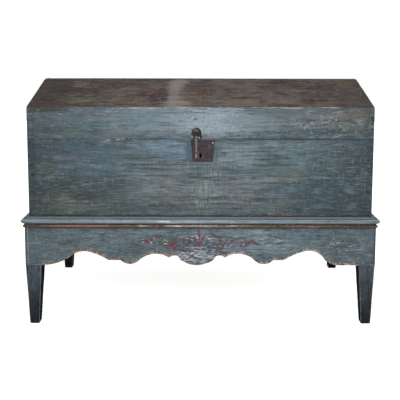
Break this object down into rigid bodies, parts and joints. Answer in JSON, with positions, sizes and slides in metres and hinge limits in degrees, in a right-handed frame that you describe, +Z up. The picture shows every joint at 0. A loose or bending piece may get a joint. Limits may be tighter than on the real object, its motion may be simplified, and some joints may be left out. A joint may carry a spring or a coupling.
{
  "type": "mule chest",
  "caption": "Painted coffer with a low coped hinged lid, iron lock plate and hanging hasp, on a joined stand with scalloped apron and tapered legs",
  "frame": {"origin": "on the floor, under the centre of the bounding box", "axes": "+X to the right along the chest's length, -Y towards the front with the lock, +Z up"},
  "size_m": [1.248, 0.6294, 0.8591],
  "materials": {
    "painted_wood": "worn blue-grey milk paint on pine",
    "bead_paint": "worn terracotta paint",
    "top_wood": "paint worn to brown weathered wood",
    "bare_wood": "old unpainted pine",
    "iron": "forged, rusty purplish brown"
  },
  "bodies": {
    "case": {"apron_front": "painted_wood", "apron_back": "painted_wood", "apron_left": "painted_wood", "apron_right": "painted_wood", "leg_front_left": "painted_wood", "leg_front_right": "painted_wood", "leg_back_left": "painted_wood", "leg_back_right": "painted_wood", "moulding_front": "painted_wood", "moulding_left": "painted_wood", "moulding_right": "painted_wood", "case_front": "painted_wood", "case_back": "painted_wood", "case_end_left": "painted_wood", "case_end_right": "painted_wood", "bead_front": "bead_paint", "bead_left": "bead_paint", "bead_right": "bead_paint", "bearer_1": "bare_wood", "bearer_2": "bare_wood", "bearer_3": "bare_wood", "leg_pegs": "bare_wood", "bottom_board_1": "bare_wood", "bottom_board_2": "bare_wood", "bottom_board_3": "bare_wood", "bottom_nails": "iron", "hinge_leaf_left": "iron", "hinge_leaf_right": "iron", "hinge_leaf_nails": "iron", "hinge_pins": "iron", "lock_plate": "iron", "lock_plate_nails": "iron", "keyhole_guard": "iron", "lock_box": "iron", "lock_box_nails": "iron"},
    "lid": {"lid_front": "painted_wood", "lid_back": "painted_wood", "lid_end_left": "painted_wood", "lid_end_right": "painted_wood", "lid_plank_front": "top_wood", "lid_plank_ridge": "top_wood", "lid_plank_rear": "top_wood", "lid_rib_left": "bare_wood", "lid_rib_right": "bare_wood", "lid_nails": "iron", "lid_strap_left": "iron", "lid_strap_right": "iron", "lid_strap_nails": "iron", "hasp_hinge_plate": "iron", "hasp_plate_nails": "iron", "hasp_pin": "iron"},
    "hasp": {"hasp": "iron"},
    "lock_bolt": {"lock_bolt": "iron"}
  },
  "joints": [
    {"name": "lid_hinge", "type": "hinge", "parent": "case", "child": "lid", "pos_m": [0, 0.30755, 0.66315], "axis": [-1, 0, 0], "range_deg": [0, 100]},
    {"name": "hasp_hinge", "type": "hinge", "parent": "lid", "child": "hasp", "pos_m": [-0.015, -0.29575, 0.6703], "axis": [-1, 0, 0], "range_deg": [0, 165]},
    {"name": "bolt_slide", "type": "slide", "parent": "case", "child": "lock_bolt", "axis": [-1, 0, 0], "range_m": [0, 0.014]}
  ]
}
